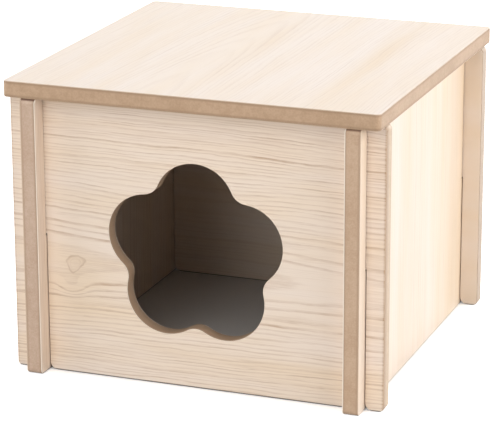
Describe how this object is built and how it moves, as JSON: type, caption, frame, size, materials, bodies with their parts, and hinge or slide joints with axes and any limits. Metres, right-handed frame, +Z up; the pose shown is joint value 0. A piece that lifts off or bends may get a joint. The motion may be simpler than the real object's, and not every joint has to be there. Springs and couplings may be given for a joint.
{
  "type": "wooden hamster house",
  "caption": "Small square hamster house of faced MDF boards joined by half-laps, with a flower-shaped doorway, an open bottom and a flat lift-off roof.",
  "frame": {"origin": "on the floor, under the middle of the house", "axes": "+Z up; the doorway faces -Y; +X is to the right of someone who looks at the doorway"},
  "size_m": [0.12, 0.12, 0.0931],
  "materials": {
    "mdf_core": "raw sawn edge of medium-density fibreboard, matte",
    "wood_grain_facing": "pale wood-grain foil, smooth, satin"
  },
  "bodies": {
    "side_walls": {"left_wall_core": "mdf_core", "left_wall_outer_facing": "wood_grain_facing", "left_wall_inner_facing": "wood_grain_facing", "right_wall_core": "mdf_core", "right_wall_outer_facing": "wood_grain_facing", "right_wall_inner_facing": "wood_grain_facing"},
    "front_wall": {"front_wall_core": "mdf_core", "front_wall_outer_facing": "wood_grain_facing", "front_wall_inner_facing": "wood_grain_facing"},
    "back_wall": {"back_wall_core": "mdf_core", "back_wall_outer_facing": "wood_grain_facing", "back_wall_inner_facing": "wood_grain_facing"},
    "roof": {"roof_core": "mdf_core", "roof_top_facing": "wood_grain_facing", "roof_underside_facing": "wood_grain_facing", "left_roof_cleat": "mdf_core", "right_roof_cleat": "mdf_core"}
  },
  "joints": [
    {"name": "front_wall_lift", "type": "slide", "parent": "side_walls", "child": "front_wall", "axis": [0, 0, 1], "range_m": [0, 0.048]},
    {"name": "back_wall_lift", "type": "slide", "parent": "side_walls", "child": "back_wall", "axis": [0, 0, 1], "range_m": [0, 0.048]},
    {"name": "roof_lift", "type": "slide", "parent": "front_wall", "child": "roof", "axis": [0, 0, 1], "range_m": [0, 0.06]}
  ],
  "couplings": [
    {"joint": "back_wall_lift", "follows": "front_wall_lift", "ratio": 1}
  ]
}
